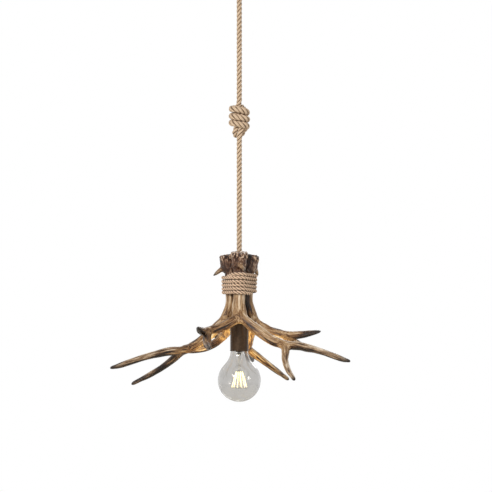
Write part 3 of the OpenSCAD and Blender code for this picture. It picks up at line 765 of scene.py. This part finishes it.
def relief(co, normals, limbs, seed, paler):
    """Height of the relief at each point (mm), how pale, black and rough it is, and the grain."""
    weight = limb_weights(limbs)
    height, pale, black, grain = limb_relief(co, normals, limbs, weight, seed, paler)
    # the forks are smoother and of an even colour
    for centre, radius, _ in FORKS:
        close = np.clip(1.3 - np.linalg.norm(co - centre, axis=1) / radius, 0, 1)
        height *= 1 - 0.85 * close
        pale += close * (0.12 - 0.7 * pale)
    # the burr is rough, and more so at its rim, but its spur, the last limb, less
    top = np.clip((co[:, 2] - BURR_LOW) / BURR_FADE, 0, 1) * (1 - 0.75 * weight[-1])
    used = np.nonzero(top > 0)[0]
    spot = co[used]
    rough = (noise_at(spot / (3.6, 3.6, 7.0) + seed)
             + 0.6 * noise_at(spot / (1.7, 1.7, 3.2) - seed))
    rim = np.clip((spot[:, 2] - RIM_LOW) / RIM_FADE, 0, 1)
    height[used] += top[used] * (0.55 + 0.7 * rim) * rough
    pale[used] = pale[used] * (1 - 0.5 * top[used]) + top[used] * (0.45 + 0.75 * rim) * rough
    # painted shade between the castings, where they lie close together, and less of it on the
    # burr
    pale -= 1.7 * shade_between_castings(co) * (1 - 0.7 * top)
    height += pearls(co, weight[0], seed)
    return height, pale, black, top, grain


# How far a casting stays from the hub's axis, and down to where. Then, by distance from that
# axis, where its colour turns greyer and its ends rise, and by height, where its burr leans
HUB_CLEAR, HUB_CLEAR_LOW = HUB_R + 0.35, -200
FAR_FROM, FAR_OVER = 130, 70
RISE_FROM, RISE_OVER = 60, 200
CROWN_LOW, CROWN_FADE = -34, 28
CROWN_LEAN, CROWN_PIVOT = 0.14, 9


def make_antler(casting, skin):
    """The casting in its place, with its relief, its lift and rise, and its material's values."""
    co, faces, normals, limbs = skin
    height, pale, black, top, grain = relief(co, normals, limbs, casting.seed, casting.paler)
    away = np.linalg.norm(co[:, :2], axis=1)
    far = np.clip((away - FAR_FROM) / FAR_OVER, 0, 1)
    out = co + normals * height[:, None]
    out[:, 2] += casting.rise * np.maximum(away - RISE_FROM, 0) / RISE_OVER
    crown = np.clip((out[:, 2] - CROWN_LOW) / CROWN_FADE, 0, 1)
    out[:, 2] += crown * (casting.lift + CROWN_LEAN * (out[:, 1] - BURR_Y - CROWN_PIVOT))
    radial = np.linalg.norm(out[:, :2], axis=1)
    tight = (radial < HUB_CLEAR) & (out[:, 2] > HUB_CLEAR_LOW)
    out[tight, :2] *= (HUB_CLEAR / np.maximum(radial[tight], 1e-6))[:, None]
    turn = math.radians(casting.turn)
    c, s = math.cos(turn), math.sin(turn)
    placed = np.stack([out[:, 0] * c - out[:, 1] * s, out[:, 0] * s + out[:, 1] * c,
                       out[:, 2] + casting.z], axis=1)
    o = mesh_object(casting.name, placed, faces)
    for label, values in (("pale", pale), ("black", black), ("burr", top), ("far", far)):
        point_values(o, label, values)
    layer = o.data.attributes.new("grain", "FLOAT_VECTOR", "POINT")
    layer.data.foreach_set("vector", (grain + casting.seed).astype(np.float32).ravel())
    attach(o, "pendant")
    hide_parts(casting.node)
    return o


body_co, body_edges, body_faces = antler_body()
body_co = smoothed(body_co, body_edges)
skin = (body_co, body_faces, normals_of(body_co, body_faces), along_limbs(body_co))
antlers = [make_antler(casting, skin) for casting in CASTINGS]

# Bulb
NECK_R = 19.4
NECK_Z = HOLDER_LOW - 3.6
GLASS_WALL = 0.7
GLOBE_END_DEG = 47
# The stem's outline up to its flare: radius, and height above its lower end
STEM = [(0, 0), (1.6, 0), (3.2, 1.2), (3.6, 4), (2.4, 8), (2.2, 16), (2.6, 26), (4.2, 34),
        (7.5, 40)]
STEM_LOW = GLOBE_Z + 24
FILAMENTS = 6
FILAMENT_LONG = 36
FILAMENT_TOP_R, FILAMENT_LOW_R = 7, 17
FILAMENT_TOP = STEM_LOW - 5


def glass_profile(inset):
    """Outline of the glass, from the bottom of the globe to the end of the neck."""
    r = GLOBE_R - inset
    neck_r = NECK_R - inset
    out = [[r * math.cos(math.radians(a)), GLOBE_Z + r * math.sin(math.radians(a))]
           for a in range(-90, GLOBE_END_DEG + 1, 4)]
    out[0][0] = 0.0
    globe_end = np.array(out[-1])
    pull = np.array([neck_r + 0.8, NECK_Z - 13])
    neck = np.array([neck_r, NECK_Z])
    for t in np.linspace(0, 1, 12)[1:]:
        out.append(((1 - t) ** 2 * globe_end + 2 * t * (1 - t) * pull + t**2 * neck).tolist())
    return out + [[neck_r - 0.4, NECK_Z + 2], [NECK_R - 1.4 - inset, HOLDER_LOW],
                  [NECK_R - 3.4 - inset, CAP_LOW - 1.6], [12.5 - inset, CAP_LOW]]


def make_filaments():
    """Straight rods that hang below the stem in a cone, each with narrower ends."""
    drop = math.sqrt(FILAMENT_LONG**2 - (FILAMENT_LOW_R - FILAMENT_TOP_R) ** 2)
    radius = np.array([0.55, 0.85] + [0.95] * 9 + [0.85, 0.55])
    shells = Shells()
    for i in range(FILAMENTS):
        a = math.radians(360 / FILAMENTS * i + 15)
        out = np.array([math.cos(a), math.sin(a)])
        top = np.array([*(FILAMENT_TOP_R * out), FILAMENT_TOP])
        low = np.array([*(FILAMENT_LOW_R * out), FILAMENT_TOP - drop])
        line = np.array([top + (low - top) * t for t in np.linspace(0, 1, len(radius))])
        points, faces, _ = tube(line, radius, radius, 12, (0, 0, 1))
        shells.add(points, faces)
    return shells.mesh("filaments")


globe = lathe("globe", glass_profile(0.0) + glass_profile(GLASS_WALL)[::-1])
stem = lathe("glass_stem", [[r, STEM_LOW + z] for r, z in STEM]
             + [[9.6, CAP_LOW - 2.4], [9.9, CAP_LOW - 0.4], [0, CAP_LOW - 0.4]], segments=48)
filaments = make_filaments()

for o, node, slot in ((globe, "bulb_glass", "clear_glass"), (stem, "bulb_stem", "stem_glass"),
                      (filaments, "bulb_filaments", "filament")):
    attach(o, "bulb")
    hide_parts(node)

# Materials. The numbers are the sockets of a Mix node for colours
MIX_FACTOR, MIX_A, MIX_B, MIX_RESULT = 0, 6, 7, 2


class Nodes:
    """A node tree and short ways to add nodes to it."""

    def __init__(self, tree):
        self.tree = tree

    def put(self, socket, value):
        """Links the value to the socket, or sets it there when it isn't a socket itself."""
        if isinstance(value, bpy.types.NodeSocket):
            self.tree.links.new(value, socket)
        else:
            socket.default_value = value

    def add(self, kind, inputs=None, **settings):
        node = self.tree.nodes.new(kind)
        for label, value in settings.items():
            setattr(node, label, value)
        for label, value in (inputs or {}).items():
            self.put(node.inputs[label], value)
        return node

    def maths(self, operation, a, b):
        return self.add("ShaderNodeMath", {0: a, 1: b}, operation=operation).outputs["Value"]

    def sum_of(self, *terms):
        """The sum of some sockets, each times its share."""
        parts = [self.maths("MULTIPLY", socket, share) for socket, share in terms]
        total = parts[0]
        for part in parts[1:]:
            total = self.maths("ADD", total, part)
        return total


class Look(Nodes):
    """A material with the nodes that its shader's inputs come from."""

    def __init__(self, name, **values):
        self.material = bpy.data.materials.new(name)
        self.material.use_nodes = True
        super().__init__(self.material.node_tree)
        self.shader = self.tree.nodes["Principled BSDF"]
        for label, value in values.items():
            self.feed(label.replace("_", " "), value)

    def feed(self, label, value):
        self.put(self.shader.inputs[label], value)

    def place(self, scale=(1, 1, 1), of="Object"):
        inputs = {"Vector": self.add("ShaderNodeTexCoord").outputs[of], "Scale": scale}
        return self.add("ShaderNodeMapping", inputs).outputs["Vector"]

    def noise(self, scale, detail, roughness, at):
        inputs = {"Scale": scale, "Detail": detail, "Roughness": roughness, "Vector": at}
        return self.add("ShaderNodeTexNoise", inputs).outputs["Fac"]

    def ramp(self, factor, stops):
        """Colours at places of the factor."""
        stops = list(stops)
        node = self.add("ShaderNodeValToRGB", {"Fac": factor})
        ramp = node.color_ramp
        while len(ramp.elements) < len(stops):
            ramp.elements.new(0.5)
        for element, (at, colour) in zip(ramp.elements, stops):
            element.position = at
            element.color = (*colour, 1)
        return node.outputs["Color"]

    def mix(self, factor, a, b):
        a, b = (c if isinstance(c, bpy.types.NodeSocket) else (*c, 1) for c in (a, b))
        return self.add("ShaderNodeMix", {MIX_FACTOR: factor, MIX_A: a, MIX_B: b},
                        data_type="RGBA").outputs[MIX_RESULT]

    def range(self, value, low, high, to_low=0.0, to_high=1.0):
        inputs = {"Value": value, "From Min": low, "From Max": high, "To Min": to_low,
                  "To Max": to_high}
        return self.add("ShaderNodeMapRange", inputs).outputs["Result"]

    def attribute(self, name):
        return self.add("ShaderNodeAttribute", attribute_name=name).outputs["Fac"]

    def bump(self, height, strength, distance):
        inputs = {"Height": height, "Strength": strength, "Distance": distance}
        self.feed("Normal", self.add("ShaderNodeBump", inputs).outputs["Normal"])


# Six yarns round a strand, as the wave pattern has ten radians to the unit
YARNS = 6 * 2 * math.pi / 10


def fibre_rope(name, pale, mid, dark, along, shade_range):
    """Natural fibre: yarns that run round each strand, with painted shade where the strands meet.
    """
    look = Look(name, Roughness=0.9, IOR=1.45, Specular_IOR_Level=0.2, Sheen_Weight=0.15,
                Sheen_Roughness=0.5)
    inputs = {"Vector": look.place((YARNS, along, 1), "UV"), "Scale": 1.0, "Distortion": 2.2,
              "Detail": 2.0, "Detail Scale": 1.6}
    wave = look.add("ShaderNodeTexWave", inputs, wave_type="BANDS",
                    bands_direction="DIAGONAL").outputs["Fac"]
    fibre = look.noise(900, 4, 0.65, look.place((1, 1, 0.35)))
    patch = look.noise(60, 3, 0.5, look.place())
    shade = look.sum_of((wave, 0.4), (fibre, 0.8))
    colour = look.ramp(shade, [(0.2, mid), (0.75, pale)])
    colour = look.mix(look.range(patch, 0.35, 0.7, 0.0, 0.4), colour, mid)
    # painted shade: the dark colour where the crest is low, in the grooves between strands and
    # between turns
    wear_and_shade = look.maths("ADD", look.attribute("crest"), look.maths("MULTIPLY", fibre, 0.16))
    colour = look.mix(look.range(wear_and_shade, *shade_range), dark, colour)
    look.feed("Base Color", colour)
    look.bump(shade, 0.5, 0.0006)
    return look


# The third colour of each rope is the painted shade in its grooves and between its turns
rope_look = fibre_rope("rope_fibre", (0.78, 0.60, 0.43), (0.51, 0.365, 0.24), (0.15, 0.08, 0.04),
                       0.10, (0.80, 0.97))
lashing_look = fibre_rope("lashing_fibre", (0.90, 0.67, 0.49), (0.62, 0.42, 0.28),
                          (0.12, 0.060, 0.033), 0.14, (0.74, 0.95))

# The castings' colours by tone: of the brown limbs, of their greyer ends, and of the burrs
TONES = (0.14, 0.30, 0.46, 0.62, 0.84)
BROWN = ((0.012, 0.005, 0.002), (0.085, 0.036, 0.014), (0.26, 0.135, 0.056),
         (0.46, 0.29, 0.142), (0.82, 0.67, 0.50))
GREYER = ((0.010, 0.006, 0.004), (0.060, 0.036, 0.023), (0.20, 0.135, 0.086),
          (0.41, 0.315, 0.225), (0.80, 0.70, 0.58))
BURR_TONES = (0.20, 0.44, 0.58, 0.76)
BURR_BROWN = ((0.010, 0.005, 0.003), (0.062, 0.024, 0.012), (0.19, 0.092, 0.050),
              (0.72, 0.53, 0.38))
TIP_BLACK = (0.02, 0.012, 0.008)


def antler_material():
    """Stained cast resin, paler on its ridges, by the values that its points have, with painted
    shade among them.
    """
    look = Look("antler_cast", IOR=1.5, Specular_IOR_Level=0.30)
    pale, black, burr, far = (look.attribute(name) for name in ("pale", "black", "burr", "far"))
    grain = look.add("ShaderNodeAttribute", attribute_name="grain").outputs["Vector"]

    def streaks(across, along, detail, roughness):
        """Noise in the grain's frame, which runs along the limbs, in millimetres."""
        at = look.add("ShaderNodeMapping", {"Vector": grain, "Scale": (across, across, along)})
        return look.noise(1.0, detail, roughness, at.outputs["Vector"])

    striae = streaks(0.60, 0.040, 4, 0.6)
    hairline = streaks(1.9, 0.12, 3, 0.6)
    broad = streaks(0.30, 0.017, 2, 0.5)
    pits = look.noise(420, 3, 0.6, look.place())
    mottle = look.noise(24, 3, 0.55, look.place())
    broad = look.maths("SUBTRACT", look.range(broad, 0.40, 0.56, 0.0, 0.22),
                       look.maths("MULTIPLY", burr, 0.06))
    tone = look.sum_of((pale, 0.42), (striae, 0.95), (mottle, 0.40), (hairline, 0.50))
    tone = look.maths("SUBTRACT", look.maths("ADD", tone, broad), 0.572)
    burr_tone = look.sum_of((pale, 0.42), (mottle, 0.60), (striae, 0.40))
    burr_tone = look.maths("SUBTRACT", burr_tone, 0.04)
    colour = look.mix(look.maths("MULTIPLY", far, 0.6), look.ramp(tone, zip(TONES, BROWN)),
                      look.ramp(tone, zip(TONES, GREYER)))
    colour = look.mix(burr, colour, look.ramp(burr_tone, zip(BURR_TONES, BURR_BROWN)))
    look.feed("Base Color", look.mix(black, colour, TIP_BLACK))
    look.feed("Roughness", look.maths("SUBTRACT", look.range(tone, 0.1, 0.9, 0.27, 0.48),
                                      look.maths("MULTIPLY", burr, 0.23)))
    lines = look.sum_of((hairline, 0.5), (pits, 0.35))
    look.bump(look.maths("ADD", lines, striae), 0.8, 0.0011)
    return look


def speckled(name, grain, dark, pale, places=(0.3, 0.8), stretch=(1, 1, 1), roughness=None,
             bump=None, **values):
    """A plain material with a fine noise, whose scale, detail and roughness are its grain.

    The noise takes the colour from dark to pale between two places, and the roughness through
    its range. The bump has a strength and a height in metres.
    """
    look = Look(name, **values)
    look.speckle = look.noise(*grain, look.place(stretch))
    look.feed("Base Color", look.ramp(look.speckle, zip(places, (dark, pale))))
    if roughness:
        look.feed("Roughness", look.range(look.speckle, 0.2, 0.8, *roughness))
    if bump:
        look.bump(look.speckle, *bump)
    return look


antler_look = antler_material()
bronze = speckled("dark_bronze_enamel", (240, 3, 0.6), (0.036, 0.019, 0.008),
                  (0.070, 0.039, 0.017), places=(0.3, 0.75), roughness=(0.33, 0.48),
                  bump=(0.12, 0.0002), Metallic=0.6)
steel = speckled("zinc_plated_steel", (500, 3, 0.6), (0.50, 0.49, 0.46), (0.68, 0.67, 0.64),
                 places=(0.25, 0.8), stretch=(1, 1, 0.2), roughness=(0.28, 0.45),
                 bump=(0.1, 0.0001), Metallic=1.0)
brass = speckled("turned_brass", (400, 3, 0.5), (0.52, 0.36, 0.14), (0.72, 0.54, 0.26),
                 places=(0.25, 0.8), stretch=(1, 1, 6), roughness=(0.22, 0.4),
                 bump=(0.1, 0.0001), Metallic=1.0)
nickel = speckled("nickel_plate", (300, 2, 0.5), (0.58, 0.56, 0.52), (0.74, 0.73, 0.70),
                  roughness=(0.15, 0.3), Metallic=1.0)
ivory = speckled("ivory_moulding", (200, 2, 0.5), (0.66, 0.61, 0.47), (0.76, 0.72, 0.58),
                 bump=(0.08, 0.0002), Roughness=0.45, IOR=1.5)
bakelite = speckled("black_bakelite", (300, 3, 0.5), (0.012, 0.011, 0.01),
                    (0.03, 0.028, 0.026), bump=(0.08, 0.0002), Roughness=0.4, IOR=1.55)
sheath = speckled("flex_sheath", (300, 3, 0.5), (0.02, 0.02, 0.02), (0.045, 0.045, 0.044),
                  bump=(0.1, 0.0002), Roughness=0.55, IOR=1.5)
cap_glass = speckled("black_glass", (200, 2, 0.5), (0.01, 0.01, 0.012),
                     (0.022, 0.022, 0.026), Roughness=0.12, IOR=1.52)
solder = speckled("solder", (700, 3, 0.6), (0.50, 0.50, 0.48), (0.66, 0.66, 0.64),
                  bump=(0.3, 0.0002), Metallic=1.0, Roughness=0.42)
glass = speckled("clear_glass", (14, 2, 0.5), (0.68, 0.67, 0.66), (0.74, 0.73, 0.71),
                 Roughness=0.06, IOR=1.47, Transmission_Weight=1.0)
pressed = speckled("pressed_glass", (120, 3, 0.5), (0.90, 0.88, 0.80), (0.97, 0.96, 0.92),
                   bump=(0.1, 0.0005), Roughness=0.03, IOR=1.5, Transmission_Weight=1.0)
glow = speckled("glowing_filament", (900, 2, 0.5), (1.0, 0.78, 0.42), (1.0, 0.88, 0.62),
                Roughness=0.6, Emission_Strength=3.0)
glow_stops = [(0.3, (1.0, 0.80, 0.30)), (0.8, (1.0, 0.86, 0.38))]
glow.feed("Emission Color", glow.ramp(glow.speckle, glow_stops))


def paint(o, look):
    """Gives the whole piece one material."""
    o.data.materials.clear()
    o.data.materials.append(look.material)


def dress(node, look):
    """Gives a piece of the frame one material, and keeps its slots."""
    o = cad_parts[node]
    if not o.material_slots:
        o.data.materials.append(look.material)
    for slot in o.material_slots:
        slot.material = look.material


for o, look in ((rope, rope_look), (neck, rope_look), (lashing, lashing_look), (globe, glass),
                (stem, pressed), (filaments, glow), *((o, antler_look) for o in antlers)):
    paint(o, look)

for node, look in {
    "ceiling_bracket": steel, "canopy": bronze, "canopy_screws": bronze, "terminal_block": ivory,
    "terminal_screws": brass, "cord_grip": bronze, "grip_nut": steel, "grip_screw": steel,
    "flex_top": sheath, "antler_screws": steel, "hub_tube": brass, "hub_nut": steel,
    "holder_nut": steel, "flex_lower": sheath, "lampholder_cup": bronze,
    "lampholder_insert": bakelite, "holder_terminals": brass, "thread_shell": brass,
    "centre_contact": brass, "bulb_cap": nickel, "bulb_cap_insulator": cap_glass,
    "bulb_contact": solder, "bulb_supports": nickel,
}.items():
    dress(node, look)

# Cords and what they ride on
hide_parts("rope_stub")
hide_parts("rope_bend", "rope_upper", "rope_knot", "rope_lower")
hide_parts("rope_lashing")
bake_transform(neck)
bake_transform(rope)
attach(lashing, "pendant")

# Floor: pale, one-sided, and faded out into the white world towards its corners
FLOOR_HALF = 3
FLOOR_Z = -1.3
FADE_FROM, FADE_TO = 1.0, 2.9

floor_mesh = bpy.data.meshes.new("floor")
floor_mesh.from_pydata([(x * FLOOR_HALF, y * FLOOR_HALF, 0)
                        for x, y in ((-1, -1), (1, -1), (1, 1), (-1, 1))], [], [(0, 1, 2, 3)])
floor = bpy.data.objects.new("floor", floor_mesh)
floor.location = (0, 0, FLOOR_Z)
scene.collection.objects.link(floor)
floor_look = speckled("pale_floor", (3, 2, 0.5), (0.80, 0.80, 0.79), (0.83, 0.83, 0.82),
                      Roughness=0.9)
behind = floor_look.add("ShaderNodeNewGeometry").outputs["Backfacing"]
away = floor_look.add("ShaderNodeVectorMath", {"Vector": floor_look.place()}, operation="LENGTH")
fade = floor_look.range(away.outputs["Value"], FADE_FROM, FADE_TO)
clear = floor_look.maths("MAXIMUM", behind, fade)
see_through = floor_look.add("ShaderNodeBsdfTransparent")
surface = floor_look.add("ShaderNodeMixShader", {0: clear, 1: floor_look.shader.outputs[0],
                                                 2: see_through.outputs[0]})
floor_look.put(floor_look.tree.nodes["Material Output"].inputs["Surface"], surface.outputs[0])
paint(floor, floor_look)

# World: white to the camera and in reflections and glass, and a soft fill for the rest
FILL_COLOUR, FILL_STRENGTH = (1.0, 0.99, 0.97, 1), 0.26

world = bpy.data.worlds.new("world")
scene.world = world
world.use_nodes = True
sky = Nodes(world.node_tree)
fill = sky.tree.nodes["Background"]
fill.inputs["Color"].default_value = FILL_COLOUR
fill.inputs["Strength"].default_value = FILL_STRENGTH
white = sky.add("ShaderNodeBackground", {"Color": (1, 1, 1, 1), "Strength": 1.0})
ray = sky.add("ShaderNodeLightPath").outputs
white_for = sky.maths("MAXIMUM", ray["Is Camera Ray"], ray["Is Transmission Ray"])
white_for = sky.maths("MAXIMUM", white_for, ray["Is Glossy Ray"])
choose = sky.add("ShaderNodeMixShader", {0: white_for, 1: fill.outputs[0], 2: white.outputs[0]})
sky.put(sky.tree.nodes["World Output"].inputs["Surface"], choose.outputs[0])

# Lights: three soft ones aimed at the antlers, and the bulb's own
AIM = (0, 0, -0.65)
BULB_STRENGTH = 9.0
BULB_COLOUR = (1.0, 0.80, 0.30)
BULB_SOFT = 0.012
BULB_RAISED = 0.012


def area(name, at, size, power, colour):
    data = bpy.data.lights.new(name, "AREA")
    data.shape = "SQUARE"
    data.size = size
    data.energy = power
    data.color = colour
    o = bpy.data.objects.new(name, data)
    o.location = at
    o.rotation_euler = Vector(np.subtract(AIM, at)).to_track_quat("-Z", "Y").to_euler()
    scene.collection.objects.link(o)


area("key", (-1.8, -3.2, 0.9), 0.8, 105, (1.0, 0.98, 0.95))
area("fill", (2.8, -2.0, -0.1), 0.9, 24, (1.0, 0.97, 0.93))
area("rim", (0.8, 3.0, 0.8), 1.6, 30, (1.0, 1.0, 1.0))
bulb_data = bpy.data.lights.new("bulb_light", "POINT")
bulb_data.energy = 1.0
bulb_data.color = BULB_COLOUR
bulb_data.shadow_soft_size = BULB_SOFT
bulb_data.use_nodes = True
bulb_nodes = Nodes(bulb_data.node_tree)
falloff = bulb_nodes.add("ShaderNodeLightFalloff", {"Strength": BULB_STRENGTH})
bulb_nodes.put(bulb_nodes.tree.nodes["Emission"].inputs["Strength"], falloff.outputs["Linear"])
bulb_light = bpy.data.objects.new("bulb_light", bulb_data)
bulb_light.location = (0, 0, GLOBE_Z * MM + BULB_RAISED)
bulb_light.visible_camera = False
bulb_light.visible_glossy = False
bulb_light.visible_transmission = False
scene.collection.objects.link(bulb_light)
filaments.visible_diffuse = False
for o in (globe, stem, filaments):
    o.visible_shadow = False

scene.view_settings.view_transform = "Standard"
